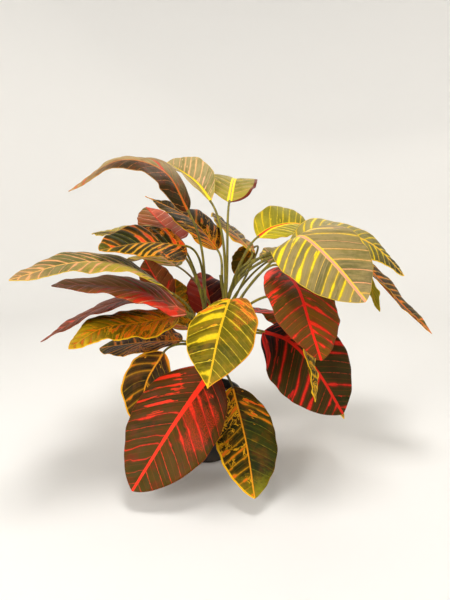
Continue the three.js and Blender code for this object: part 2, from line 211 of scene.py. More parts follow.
LOOKS = {
    "scarlet": like(
        PLAIN, shades=[("744a0e", "4c3c08"), ("624010", "403808")], foot=("6a140c", 0.8, 0.45),
        pitch=16, strong=[0.75, 0.7], widths=[(0.7, 1.8, 4.5, 5), (0.7, 1.6, 7, 4)],
        outward=[0.3, 0.9], full=[(0.45, 0.3, 0.55, 0.45), (0.35, 0.9, 0.5, 0.35)],
        blotch=[("c43018", "ee341a", 0.3, 0), ("d03018", "f0341a", 0.5, 0)],
        midrib=("ee2416", 9, 4),
    ),
    "scarlet_front": like(
        PLAIN, shades=[("563a0a", "383006"), ("523608", "322b06")],
        foot=[("3c1010", 0.9, 0.4), ("5e3014", 0.7, 0.35)], tip=("4c3c08", 0.6, 0.6),
        slant=[0.55, 0.75], strong=[0.7, 0.45],
        widths=[(0.8, 2.4, 4, 3), (0.8, 1.6, 9, 6)], outward=[0.4, 0.85],
        full=[(0.4, 0.5, 0.25, 0.12), (0.36, 0.75, 0.3, 0.3)],
        blotch=[("dc3418", "f0341a", 0.3, 0), ("e03818", "f4341a", 0.45, 0)],
        speckle=[("e83018", 0.75), ("e83018", 0)], midrib=("fa341a", 12, 4),
    ),
    "scarlet_low": like(
        PLAIN, shades=("3c300a", "242806"), foot=("260810", 0.95, 0.5), band=("9c2012", "de2c1a"),
        strong=0.6, widths=(0.6, 1.6, 5, 4), outward=0.7, wash=("3c1008", 0.4),
        blotch=("c02018", "d8281a", 0.3, 0), midrib=("dc2818", 8, 4),
    ),
    "plum": PLUM,
    # Its panels are partly a painted sheen: light all over, and lightest on the right half.
    "plum_wide": like(
        PLUM, shades=[("b4662c", "8c5424"), ("b8844a", "94703c")],
        foot=[("94301c", 0.7, 0.45), ("7a2c18", 0.7, 0.5)], tip=("b88858", 0.6, 0.4),
        wash=("9a4c24", 0.4), line="f09070", widths=(2.2, 2.2, 4, 3), strong=0.4, slant=0.8,
        full=[(0.45, 0.7, 0.35, 0.15), (0.25, 0.4, 0.4, 0.2)],
        blotch=[("c8341c", "e4341c", 0.9, 0.1), ("b43a1c", "cc3c1c", 0.4, 0)],
        midrib=("cc5c3c", 5, 2), ripple=0.8,
    ),
    "plum_back": like(
        PLUM, shades=[("a83424", "7a2216"), ("4c1a12", "300e0c")], foot=("6a1a12", 0.6, 0.45),
        strong=0.2, midrib=("d8402c", 6, 3),
    ),
    "russet": like(
        PLUM, shades=("7a3408", "421c02"), foot=("6a2408", 0.6, 0.45), line="b8541c",
        midrib=("dc5820", 4, 2),
    ),
    "rose": like(
        PLUM, shades=[("964828", "605414"), ("c86040", "a8743c")], foot=("d03c28", 0.8, 0.5),
        line="eca080", widths=(1.2, 1.8, 4, 3), tip=[("6c6430", 0.6, 0.5), ("d86858", 0.6, 0.5)],
        strong=0.1,
    ),
    # The arching leaf's near (left) half is painted dark as shade, and its far (right) half pale as a painted
    # sheen.
    "arch": like(
        PLUM, shades=[("4a300c", "2c2206"), ("a8905c", "8a7a48")], foot=("2e2406", 1, 0.5),
        tip=("b8965c", 0.9, 0.35), line="b4682c", strong=0.1, blotch=("c0501c", "c8401c", 0.08, 0),
        midrib=("dc541c", 3.5, 2), border=("8a6a14", 1.4), margin=("b88848", 0.8, 0.8),
    ),
    "sage_top": like(
        SAGE, shades=("a49666", "8c8250"), line="e0aa80", strong=0.25, widths=(1.4, 2, 1.5, 1.5),
        band=("e8b878", "e8a888"), blotch=("e0b884", "e4b090", 0.15, 0.1), midrib=("f0dc40", 5, 3),
        border=("f0d020", 1.2),
    ),
    "sage_cap": like(
        SAGE, shades=("9c8c38", "867c34"), strong=0.15, midrib=("e8c060", 2.5, 2), border=("f2d820", 3.2),
        margin=[("d8b43c", 0.7, 0.7), ("6a2410", 5, 1)],
    ),
    # Its pale panels and tip are partly a painted sheen, as on a leaf seen at a grazing angle.
    "sage_left": like(
        SAGE, shades=("767240", "505028"), foot=[("dcb818", 1, 0.55), ("4a440c", 1, 0.9)],
        tip=("b88c5c", 0.6, 0.3), line="e09c6c", band=("d49c5c", "e8a070"), strong=0.7,
        widths=(1.4, 2.2, 2.5, 2.5), blotch=("a8961c", "6c6c10", 0.55, 0), midrib=("e09c68", 4, 2),
        border=("e8c41c", 0.6), ripple=1,
    ),
    # Its pale grey-tan panels are partly a painted sheen from the light overhead.
    "sage_wide": like(
        SAGE, shades=("92804e", "6a6238"), split=[0.7, 1], line=["e8a070", "e8b850"],
        strong=[0.35, 0.9], widths=[(1.6, 1.6, 1.5, 1.5), (1, 2.2, 5, 2)],
        outward=[0.5, 0.85], full=[(0.1, 0.9, 0.5, 0.6), (0.3, 0.6, 0.7, 0.6)],
        blotch=[("e8b83c", "f4d444", 0.4, 0), ("e8cc20", "f4dc24", 0.2, 0)],
        midrib=("e8987c", 6.5, 3.5), border=("ecc828", [2, 0.4]),
    ),
    "sage_right": like(
        SAGE, line="e8cc30", midrib=("dc3c1c", 5, 2), border=("f8e018", [1, 4]),
        shades=("948a24", "7c781c"), foot=("d8c41c", 0.6, 0.4), ripple=1,
    ),
    "sage_far": like(
        SAGE, line="e8b838", strong=0.95, widths=(1, 2.4, 3, 2), full=(0.3, 0.5, 0.55, 0.2),
        midrib=("e87c3c", 4, 2), tip=("2a2606", 1, 0.5), blotch=("e8cc20", "ecb41c", 0.1, 0.15),
        margin=("f0c81c", 1.8, 0.8), ripple=1.2,
    ),
    "olive_front": like(
        OLIVE, shades=[("665a06", "4a4804"), ("746406", "363404")],
        band=[("c09a18", "ecb020"), ("b8a014", "f0c41c")], slant=[0.7, 0.28],
        strong=[0.5, 0.9], widths=[(1, 1.8, 1.5, 2), (0.9, 4, 4, 4)],
        full=[(0.25, 0.95, 0.5, 0.05), (0.4, 0.5, 1, 1)],
        blotch=[("d89020", "e05a1c", 0.6, 0.1), ("e8b01c", "e8741c", 0.55, 0)],
        speckle=[("e45a1c", 0.6), ("e8a01c", 0)],
        margin=[("e0981c", 1.6, 0.6), ("f0c01c", 1.6, 0.8)], ripple=[0.8, 2.2],
    ),
    "olive_far": like(
        OLIVE, shades=[("34340a", "26280a"), ("a8944c", "807828")], net=("c0981c", 0.3, 0.3),
        ripple=1,
    ),
    "olive_light": like(
        OLIVE, shades=("a89a24", "7c7814"), line="e8d020", widths=(1.6, 2.4, 2.5, 1.5), slant=1.6,
        strong=0.7, margin=("e8d020", 3, 0.9),
    ),
    "olive_edge": like(
        OLIVE, shades=("7a5c10", "4a3c08"), tip=("241c04", 1, 0.45), strong=0.7,
        blotch=("eca81c", "e4701c", 0.55, 0.05), margin=("f4c81c", 2.6, 0.9),
    ),
    "ember": EMBER,
    "ember_tall": like(
        EMBER, shades=("3a2c06", "201c02"), blotch=("dc9818", "e26018", 0.42, 0),
        net=("dc8c18", 0.4, 0), full=(0.25, 0.5, 0.4, 0.25), strong=0.45,
    ),
    "ember_front": like(
        EMBER, shades=[("343808", "22260a"), ("2c2c04", "1c1e02")], line=["6c6a14", "c08a14"],
        strong=[0.4, 0.8], widths=[(0.8, 2.2, 2, 3), (1.2, 1.6, 2.5, 3)],
        full=[(0.25, 0.85, 0.34, 0.05), (0.4, 0.5, 1, 1)],
        blotch=[("dc8810", "e24c16", 0.4, 0), ("e89c18", "ec8414", 0.3, 0.1)],
        margin=[("a87c14", 0.8, 0.5), ("f4b81c", 3.2, 0.8)],
        net=[("dc8c18", 0.1, 0), ("ecac1c", 0.42, 0.25)], tip=("8c8410", 0.9, 0.25), ripple=1,
    ),
    "ember_rim": like(
        EMBER, margin=("f0ac1c", 3, 0.7), strong=0.8, widths=(1, 2.2, 3, 3.5),
        net=("e0941c", 0.15, 0), blotch=("ecac1c", "e87c18", 0.08, 0.05),
    ),
    "ember_right": like(
        EMBER, shades=("3a2c08", "241c04"), midrib=("e8841c", 7, 5), border=("d8701c", [5, 9]),
        line="c0a050", net=("d47810", 0.2, 0),
    ),
    "ember_brown": like(
        EMBER, shades=("5c4a12", "3a2c0a"), strong=0.2, blotch=("8a5c10", "a8480c", 0.2, 0.1),
    ),
    "flame": like(
        EMBER, shades=[("2e2602", "1a1600"), ("282a04", "161800")], wash=("5a2c06", 0.35),
        slant=[1.5, 0.1], line=["b88c1c", "8c8420"],
        band=[("e8b02c", "e8741c"), ("ec801c", "ee3c18")], strong=[0.8, 0.6],
        widths=[(0.9, 1.6, 2, 3), (0.9, 2.5, 9, 5)], outward=[0.5, 0.1],
        full=[(0.4, 0.5, 1, 1), (0.3, 0.3, 0.45, 0.5)], blotch=("e08418", "e6401a", 0.35, 0),
        net=("d06c14", 0.3, 0.1), midrib=("a0701c", 3, 2), margin=("d0901c", 1.6, 0.6),
        ripple=[1.2, 1.6],
    ),
    "gold": like(
        EMBER, shades=("7a680c", "54500a"), line="c8a01c", strong=0.75, widths=(1, 2.4, 3.5, 3.5),
        blotch=("e49c18", "e2681a", 0.55, 0.3), foot=("5a3408", 0.6, 0.4), tip=("e8bc1c", 0.9, 0.4),
        margin=("ecb81c", 2, 0.7), ripple=1.4,
    ),
    "gold_low": like(
        EMBER, shades=("8c741c", "64540c"), strong=0.7, blotch=("e8ac1c", "e4801c", 0.5, 0.4),
        net=("e8a41c", 0.6, 0.6),
    ),
    "gold_narrow": like(
        EMBER, shades=("40400a", "1c1e04"), band=("f0c01c", "e8941c"), strong=0.8,
        margin=("f4c018", 2.6, 0.9), net=("dc9c18", 0.5, 0.4),
    ),
}

# ---- curves and meshes

CURVE_STEPS = 60  # a curve's points from one given point to the next
LOOK_AHEAD = 0.004  # the share of a curve that its direction is taken from, either way


class Path:
    """A curve through space that is measured along its length, in millimetres."""

    def __init__(self, points):
        self.points = np.asarray(points, float)
        steps = np.linalg.norm(np.diff(self.points, axis=0), axis=1)
        self.reach = np.concatenate([[0], np.cumsum(steps)])
        self.length = self.reach[-1]

    def at(self, share):
        reach = np.asarray(share) * self.length
        return np.stack([np.interp(reach, self.reach, self.points[:, k]) for k in range(3)], -1)

    def along(self, share):
        ahead, behind = (self.at(np.clip(share + step, 0, 1)) for step in (LOOK_AHEAD, -LOOK_AHEAD))
        return unit(ahead - behind)

    def share_at_height(self, height):
        return np.interp(height, self.points[:, 2], self.reach) / self.length


def unit(vectors):
    return vectors / np.linalg.norm(vectors, axis=-1, keepdims=True)


def spline(points, evenness):
    """A Catmull-Rom curve through the points: evenness 0 is uniform, 0.5 is centripetal."""
    p = np.array(points, float)
    p = np.vstack([2 * p[0] - p[1], p, 2 * p[-1] - p[-2]])
    share = np.linspace(0, 1, CURVE_STEPS)[:, None]
    dense = []
    for a, b, c, d in zip(p, p[1:], p[2:], p[3:]):
        before, here, after = (np.linalg.norm(v) ** evenness for v in (b - a, c - b, d - c))
        leaving = here * ((b - a) / before - (c - a) / (before + here) + (c - b) / here)
        coming = here * ((c - b) / here - (d - b) / (here + after) + (d - c) / after)
        square = -3 * b + 3 * c - 2 * leaving - coming
        cube = 2 * b - 2 * c + leaving + coming
        dense.append(b + leaving * share + square * share**2 + cube * share**3)
    return Path(np.vstack([dense[0]] + [part[1:] for part in dense[1:]]))


def bezier(a, b, c, d):
    share = np.linspace(0, 1, CURVE_STEPS)[:, None]
    rest = 1 - share
    return Path(rest**3 * a + 3 * rest**2 * share * b + 3 * rest * share**2 * c + share**3 * d)


def smoothstep(value, low, high):
    share = np.clip((value - low) / (high - low), 0, 1)
    return share * share * (3 - 2 * share)


def swell(distance, height, reach):
    """A smooth bump that is highest at no distance and almost gone at twice its reach."""
    return height * np.exp(-((distance / reach) ** 2))


def link(name, data):
    """A new object in the scene that shows the data."""
    holder = bpy.data.objects.new(name, data)
    bpy.context.scene.collection.objects.link(holder)
    return holder


def mesh_object(name, points, faces, smooth=True):
    mesh = bpy.data.meshes.new(name)
    mesh.from_pydata((np.asarray(points) * MM).tolist(), [], faces)
    mesh.update()
    mesh.polygons.foreach_set("use_smooth", [smooth] * len(mesh.polygons))
    return link(name, mesh)


def ring(level):
    """Points evenly spread round the Z axis, from the radius and height of each."""
    turns = 2 * math.pi * np.arange(len(level)) / len(level)
    return [(radius * math.cos(t), radius * math.sin(t), z) for (radius, z), t in zip(level, turns)]


def wall_faces(first, rings, sides):
    """The faces between rings of points that follow each other from the first point on."""
    faces = []
    for low in range(first, first + (rings - 1) * sides, sides):
        for k in range(sides):
            after = (k + 1) % sides
            faces.append((low + k, low + after, low + sides + after, low + sides + k))
    return faces


def fan_faces(pole, first, sides):
    """The faces between one point on the axis and the ring that begins with the first point."""
    return [(pole, first + k, first + (k + 1) % sides) for k in range(sides)]


def flipped(faces):
    return [face[::-1] for face in faces]


def turned(name, foot, levels, crown):
    """A closed shape round the Z axis: a ring for each level, between the heights of foot and crown."""
    sides = len(levels[0])
    points = [(0, 0, foot), (0, 0, crown)]
    for level in levels:
        points += ring(level)
    last = 2 + (len(levels) - 1) * sides
    faces = flipped(fan_faces(0, 2, sides)) + fan_faces(1, last, sides)
    return mesh_object(name, points, faces + wall_faces(2, len(levels), sides))


def place(piece, slot, *nodes):
    """The piece moves with the plant and stands for the nodes; the slot is not used."""
    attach(piece, BODY)
    if nodes:
        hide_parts(*nodes)


# ---- nodes of the materials


def colour(text):
    """A screen colour in hex as the linear colour that a socket holds."""
    screen = [int(text[k : k + 2], 16) / 255 for k in (0, 2, 4)]
    return tuple(((c + 0.055) / 1.055) ** 2.4 if c > 0.04045 else c / 12.92 for c in screen) + (1.0,)


def worked_out(operation, swapped=False):
    """A method of Value that adds a node for the operation."""

    def method(self, *others):
        values = (self, *others)
        return self.nodes.math(operation, *(reversed(values) if swapped else values))

    return method


class Value:
    """What comes out of a node: arithmetic with it adds the nodes that work it out."""

    def __init__(self, nodes, socket):
        self.nodes = nodes
        self.socket = socket

    __abs__ = worked_out("ABSOLUTE")
    __add__ = worked_out("ADD")
    __sub__ = worked_out("SUBTRACT")
    __rsub__ = worked_out("SUBTRACT", swapped=True)
    __mul__ = worked_out("MULTIPLY")
    __truediv__ = worked_out("DIVIDE")


class Nodes:
    """Adds nodes to a material: numbers, colours or values go in, and a value comes out."""

    def __init__(self, name):
        self.material = bpy.data.materials.new(name)
        self.material.use_nodes = True
        self.tree = self.material.node_tree
        self.shader = self.tree.nodes["Principled BSDF"]

    def add(self, kind, inputs, output=0, **settings):
        return self.add_for(kind, inputs, [output], **settings)[0]

    def add_for(self, kind, inputs, outputs, **settings):
        node = self.tree.nodes.new(kind)
        for key, value in settings.items():
            setattr(node, key, value)
        for key, value in inputs.items():
            self.put(node.inputs[key], value)
        return [Value(self, node.outputs[key]) for key in outputs]

    def put(self, socket, value):
        if isinstance(value, Value):
            self.tree.links.new(value.socket, socket)
        elif isinstance(value, str):
            socket.default_value = colour(value)
        else:
            socket.default_value = value

    def math(self, operation, a, b=0.0):
        return self.add("ShaderNodeMath", {0: a, 1: b}, operation=operation)

    def step(self, value, low, high, bottom=0.0, top=1.0):
        """Goes smoothly from bottom to top as the value goes from low to high."""
        inputs = {"Value": value, "From Min": low, "From Max": high, "To Min": bottom, "To Max": top}
        return self.add("ShaderNodeMapRange", inputs, interpolation_type="SMOOTHSTEP")

    def mix(self, share, a, b):
        return self.add("ShaderNodeMix", {0: share, 6: a, 7: b}, output=2, data_type="RGBA")

    def between(self, share, a, b):
        return self.add("ShaderNodeMix", {0: share, 2: a, 3: b}, data_type="FLOAT")

    def vector(self, x, y, z):
        return self.add("ShaderNodeCombineXYZ", {0: x, 1: y, 2: z})

    def split(self, vector):
        return self.add_for("ShaderNodeSeparateXYZ", {0: vector}, range(3))

    def uv(self, name):
        return self.add("ShaderNodeUVMap", {}, uv_map=name)

    def here(self):
        """The place on the part, in metres: the pieces' own origins lie at the part's origin."""
        return self.add("ShaderNodeTexCoord", {}, output="Object")

    def noise(self, vector, scale, detail=2.0, roughness=0.5, distortion=0.0):
        inputs = {"Vector": vector, "Scale": scale, "Detail": detail}
        inputs.update({"Roughness": roughness, "Distortion": distortion})
        return self.add("ShaderNodeTexNoise", inputs)

    def chances(self, vector):
        """Three random numbers that stay the same wherever the vector does."""
        drawn = self.add("ShaderNodeTexWhiteNoise", {"Vector": vector}, output="Color", noise_dimensions="3D")
        return self.add_for("ShaderNodeSeparateColor", {0: drawn}, range(3))

    def bump(self, height, distance, strength=1.0):
        inputs = {"Height": height, "Distance": distance, "Strength": strength}
        self.put(self.shader.inputs["Normal"], self.add("ShaderNodeBump", inputs))

    def paint(self, share, over):
        """Mixes a share of a colour over the base."""
        self.base = self.mix(share, self.base, over)

    def finish(self, roughness):
        self.put(self.shader.inputs["Base Color"], self.base)
        self.put(self.shader.inputs["Roughness"], roughness)
        return self.material


# ---- the shape of leaves

VEIN_CURVE = 0.0022  # how much more a vein turns towards the tip further out, per mm
UV_UNIT = 100  # millimetres in one unit of the leaf's own map
BLADE_ROWS = 84
BLADE_COLUMNS = 36
COLUMN_EVENNESS = 1.25  # above 1, the columns crowd towards the midrib
NOTCH = 0.7  # how far the margin wanders in and out
NOTCH_COUNTS = (2, 9)  # the fewest and the most of its waves on a blade
CRIMP = 0.9  # how far it wanders up and down, on top of its waves
CRIMP_COUNTS = (4, 8)
RIB = (0.45, 1.6)  # the height and reach of the midrib's swelling on the upper side
KEEL_REACH = 2.4
VEIN_STEPS = (0.82, 1.18)  # the shortest and the longest step from vein to vein, as a share of the pitch
SHEET_MIDDLES = (0.25, 0.75)  # where the upper and the lower side lie side by side on the baked map
SHEET_HALF_WIDTH = 0.23
SHEET_FOOT = 0.02
SHEET_LENGTH = 0.96
SHEET_RIM = 0.012  # the strip of the map that the rim takes at the sides
SHEET_TIP_RIM = 0.01


def half_width(share, width, outline):
    foot_power, tip_power = outline
    widest = foot_power / (foot_power + tip_power)
    fullness = share**foot_power * (1 - share) ** tip_power
    peak = widest**foot_power * (1 - widest) ** tip_power
    ends = BLADE_FOOT_HALF_WIDTH + (BLADE_TIP_HALF_WIDTH - BLADE_FOOT_HALF_WIDTH) * share
    return np.maximum(ends, width / 2 * fullness / peak)


def wander(share, draw, counts):
    """An uneven wave along each half of the blade, within about 1 either way."""
    halves = []
    for _ in range(2):
        turns = [(draw.uniform(*counts), draw.uniform(0, 2 * math.pi)) for _ in range(4)]
        halves.append(sum(np.sin(2 * np.pi * count * share + start) for count, start in turns) / 2.4)
    return halves


def vein_numbers(forward, length, pitch, draw):
    """Numbers the veins by where they leave the midrib: whole on a vein, with uneven steps between."""
    places = [-length / 2]
    while places[-1] < length * 1.1:
        places.append(places[-1] + pitch * draw.uniform(*VEIN_STEPS))
    return np.interp(forward, places, np.arange(len(places)))


def blade_faces():
    """The faces of a blade's upper side, of its lower side, whose points come second, and of its rim."""
    columns = BLADE_COLUMNS + 1
    count = (BLADE_ROWS + 1) * columns
    i, j = (grid.ravel() for grid in np.mgrid[0:BLADE_ROWS, 0:BLADE_COLUMNS])
    first = i * columns + j
    upper = np.stack([first, first + 1, first + columns + 1, first + columns], 1)
    lower = upper[:, ::-1] + count
    foot, right = np.arange(BLADE_COLUMNS), np.arange(BLADE_ROWS) * columns + BLADE_COLUMNS
    tip = BLADE_ROWS * columns + np.arange(BLADE_COLUMNS, 0, -1)
    left = np.arange(BLADE_ROWS, 0, -1) * columns
    edge = np.concatenate([foot, right, tip, left])
    after = np.roll(edge, -1)
    return upper, lower, np.stack([edge, edge + count, after + count, after], 1)


def blade(name, leaf, phase, look, draw):
    _, _, points, width, (roll_foot, roll_tip), lift, *own_outline = leaf
    spine = spline(points, 0)
    lift = math.radians(lift)
    chord = np.subtract(points[-1], points[0])
    across = unit(np.cross(chord, (0, 0, 1)))
    # s goes from the foot to the tip, and q from the left margin to the right.
    s = (1 - np.cos(np.pi * np.linspace(0, 1, BLADE_ROWS + 1))) / 2
    even = np.linspace(-1, 1, BLADE_COLUMNS + 1)
    q = np.sign(even) * np.abs(even) ** COLUMN_EVENNESS

    along = spine.along(s)
    side = unit(across - along * (along @ across)[:, None])
    roll = np.radians(roll_tip + (roll_foot - roll_tip) * (1 - s) ** 2)[:, None]
    side = side * np.cos(roll) - np.cross(along, side) * np.sin(roll)
    normal = np.cross(side, along)

    half = half_width(s, width, own_outline[0] if own_outline else OUTLINE)[:, None]
    fade = (smoothstep(s, 0, WAVE_FADE) * smoothstep(1 - s, 0, WAVE_FADE))[:, None]
    left, right = wander(s[:, None], draw, NOTCH_COUNTS)
    notch = NOTCH * fade * np.where(q > 0, right, left)
    x = q * half + np.sign(q) * q**2 * notch
    y = np.broadcast_to((s * spine.length)[:, None], x.shape)
    start = phase + np.where(q > 0, WAVE_HALF_STEP, 0)
    wave = WAVE_HEIGHT * q**2 * np.sin(2 * np.pi * WAVES * s[:, None] + start)
    left, right = wander(s[:, None], draw, CRIMP_COUNTS)
    wave = wave + CRIMP * q**4 * np.where(q > 0, right, left)
    rise = half * (np.abs(q) * math.sin(lift) - BLADE_DROOP * q**2) + fade * wave

    # The panels between the veins stand up, least at the midrib and the margin.
    numbers = []
    for split, slant in zip(both(look["split"]), both(look["slant"])):
        forward = y - slant * np.abs(x) - VEIN_CURVE * x**2
        numbers.append(vein_numbers(forward, spine.length, look["pitch"] / split, draw))
    inner = smoothstep(np.abs(q), 0.02, 0.25) * (1 - 0.6 * smoothstep(np.abs(q), 0.8, 1))
    left, right = (r * (0.5 - 0.5 * np.cos(2 * np.pi * n)) for r, n in zip(both(look["ripple"]), numbers))
    rib = swell(x, *RIB) * (1 - 0.6 * s[:, None])
    rise = rise + np.where(q > 0, right, left) * inner * fade + rib

    top = spine.at(s)[:, None] + side[:, None] * (x * math.cos(lift))[..., None]
    top = top + normal[:, None] * rise[..., None]
    keel = swell(x, MIDRIB_DEPTH * (1 + (MIDRIB_TIP_SHARE - 1) * s[:, None]), KEEL_REACH)
    below = top - normal[:, None] * (BLADE_THICKNESS + keel)[..., None]
    points = np.concatenate([top.reshape(-1, 3), below.reshape(-1, 3)])
    upper, lower, rim = blade_faces()
    faces = np.concatenate([upper, lower, rim])
    piece = mesh_object(name, points, faces.tolist())

    # The maps hold a place for each corner of each face. A face's middle tells the half that it belongs to.
    on_grid = faces % x.size
    corner = on_grid.ravel()
    row, column = corner // len(q), corner % len(q)
    in_right = np.repeat((on_grid % len(q)).mean(1) > BLADE_COLUMNS / 2, 4)
    number = np.where(in_right, numbers[1].ravel()[corner], numbers[0].ravel()[corner])
    beneath = np.repeat([False, True, False], [upper.size, lower.size, rim.size])
    on_rim = (faces.ravel() >= x.size) & ~beneath
    sheet_u = np.where(beneath, SHEET_MIDDLES[1], SHEET_MIDDLES[0]) + SHEET_HALF_WIDTH * even[column]
    sheet_u = sheet_u + np.where(on_rim, SHEET_RIM * np.sign(even[column]), 0)
    sheet_v = SHEET_FOOT + SHEET_LENGTH * s[row] + np.where(on_rim & (row == BLADE_ROWS), SHEET_TIP_RIM, 0)
    maps = {
        "Leaf": (x.ravel()[corner] / UV_UNIT, y.ravel()[corner] / UV_UNIT),
        "Vein": (number, np.abs(q)[column]),
        "OFBake": (sheet_u, sheet_v),
    }
    for key, (u, v) in maps.items():
        layer = piece.data.uv_layers.new(name=key)
        layer.data.foreach_set("uv", np.stack([u, v], 1).ravel())
    slots = np.repeat([0, 1, 0], [len(upper), len(lower), len(rim)])
    piece.data.polygons.foreach_set("material_index", slots)
    return piece, spine.length


# ---- the pattern of leaves

RAGGED = 1.7  # how far the edges of the veins' bands wander, in mm
RIB_RAGGED = 1.6
MARGIN_RAGGED = 1.5
TINT_RAGGED = 0.25  # how far the foot's and the tip's colours wander, as a share of the blade
SOFT = 0.35  # how far a painted edge takes to fade, either way, in mm
NARROWING = 0.85  # the distance from vein to vein across them, as a share of the pitch along the midrib
UNDER_RIB = "5a4a14"
RELIEF = 0.0003
SPECULAR = {False: 0.09, True: 0.04}  # for the upper side and the underside
ROUGHNESS = {False: (0.4, 0.52), True: (0.6, 0.7)}
VEIN_RELIEF = {False: 0.4, True: -0.6}


def leaf_material(name, look, seed, length, under):
    n = Nodes(name)
    x, y, _ = n.split(n.uv("Leaf"))
    number, share, _ = n.split(n.uv("Vein"))
    away = abs(x) * UV_UNIT
    right = n.math("GREATER_THAN", x, 0)
    along = y * (UV_UNIT / length)
    side = right * 13 + seed
    spot = n.vector(x, y, seed)
    ragged = n.noise(spot, 24, 4, 0.6) - 0.5
    fine = n.noise(spot, 34, 3)

    def pick(key, *at):
        """The look's value for the half that is painted: a constant where the halves agree."""
        values = both(look[key])
        for index in at:
            values = [value[index] for value in values]
            if isinstance(values[0], list):
                values = values[0]
        if values[0] == values[1]:
            return values[0]
        mixed = n.mix if isinstance(values[0], str) else n.between
        return mixed(right, values[0], values[1])

    def tint(key, start, end):
        """Paints the foot's or the tip's colour between two shares of the blade's length."""
        n.paint(n.step(along + ragged * TINT_RAGGED, start, end) * pick(key, 1), pick(key, 0))

    def within(distance, edge, soft=SOFT):
        return n.step(distance - edge, -soft, soft, 1, 0)

    # How full the bands and blotches are here.
    reach = pick("full", 2)
    ahead = (along - pick("full", 0)) / reach
    aside = (share - pick("full", 1)) / (reach * 2)
    apart = n.math("SQRT", ahead * ahead + aside * aside) + (n.noise(spot, 4.5, 2) - 0.5) * 1.4
    full = n.step(apart, 0.6, 1.15, 1, pick("full", 3))

    # The nearest vein, its three chances, and how far away it is.
    nearest = n.math("ROUND", number)
    luck, spread, lean = n.chances(n.vector(nearest, right, seed))
    pitch = n.between(right, *(look["pitch"] / split * NARROWING for split in both(look["split"])))
    runs = n.step(n.noise(n.vector(nearest * 5.7, share * 1.9, side), 1, 1), 0.47, 0.62)
    off = (number - nearest) * pitch + runs * (spread - 0.5) * pick("widths", 3)
    off = abs(off) + ragged * RAGGED
    strong = n.math("LESS_THAN", luck, pick("strong"))
    to_margin = n.math("LESS_THAN", lean, pick("outward"))
    wedge = n.between(to_margin, n.step(share, 0, 0.6, 1, 0), n.step(share, 0.25, 0.95))
    wedge = wedge * n.step(spread, 0.1, 0.8) * pick("widths", 2)
    width = n.step(share, 0, 1, 1, 0.5) * pick("widths", 1) + wedge
    width = (width + runs * pick("widths", 3)) * (full * 0.5)

    # The panels between the veins: streaks along the veins, a tone drawn for each panel, and painted light
    # and shade of each panel's bulge, lighter in its middle and darker by its veins.
    middle = abs(number - nearest) * 2
    panel, _, _ = n.chances(n.vector(n.math("FLOOR", number), side, 3))
    streaks = n.noise(n.vector(number * 3, share * 1.6, side), 1, 4, 0.65)
    # middle paints a highlight into each panel's middle and shade beside its veins, as if the panel bulged.
    tone = streaks + panel * 0.24 + middle * -0.08
    n.base = n.mix(n.step(tone, 0.5, 0.8), pick("shades", 0), pick("shades", 1))
    tint("foot", look_share(look, "foot"), 0)
    tint("tip", 1 - look_share(look, "tip"), 1)
    cells = n.add("ShaderNodeTexVoronoi", {"Vector": spot, "Scale": 30}, feature="DISTANCE_TO_EDGE")
    tissue = n.step(cells, 0, 0.12)
    n.paint(n.step(fine, 0.45, 0.75, 0, 0.2) + tissue * -0.12, pick("shades", 0))
    n.paint(n.step(n.noise(spot, 5, 4, 0.6), 0.45, 0.75, 0, pick("wash", 1)), pick("wash", 0))

    # Blotches lie along the veins, and the net lies across them.
    amount = n.step(along, 0.08, 0.85, pick("blotch", 2), pick("blotch", 3))
    patch = n.noise(n.vector(number * 2.1, share * 1.7, side + 5), 1, 4, 0.55)
    patch = patch + amount * 0.45 + middle * -0.05 + (full - 1) * 0.3
    n.paint(n.step(patch, 0.68, 0.7), pick("blotch", 0))
    n.paint(n.step(patch, 0.72, 0.75), pick("blotch", 1))
    if pick("speckle", 1) != 0:
        spots = n.step(n.noise(spot, 75, 3, 0.7), 0.5, 0.56) * n.step(full, 0.6, 1)
        n.paint(spots * pick("speckle", 1), pick("speckle", 0))
    if pick("net", 1) != 0:
        threads = within(abs(n.noise(spot, 6.5, 3, 0.6, 1) - 0.5), 0.026, 0.015)
        covered = n.step(along, 0, 0.8, pick("net", 1), pick("net", 2))
        covered = n.noise(n.vector(x, y, seed + 9), 3, 2) + covered
        n.paint(threads * n.step(covered, 0.76, 0.86), pick("net", 0))

    # Wide veins with a glow beside them, thin ones, and thinner ones halfway between.
    glow = strong * within(off, width + 1, 3) * n.step(full, 0.1, 0.7, 0, 0.4)
    n.paint(glow, pick("band", 0))
    halfway = abs(abs(number - nearest) - 0.5) * pitch
    n.paint(within(halfway, 0.15, 0.3) * 0.22, pick("line"))
    n.paint(strong * within(off, width), pick("band", 0))
    core = strong * within(off, width - 1)
    n.paint(core * n.step(fine, 0.3, 0.55, 0.5, 1), pick("band", 1))
    line = within(off, pick("widths", 0) * 0.5, 0.25)
    beside = 1 - core * 0.7
    n.paint(line * beside * n.step(lean, 0, 1, 0.5, 0.95), pick("line"))

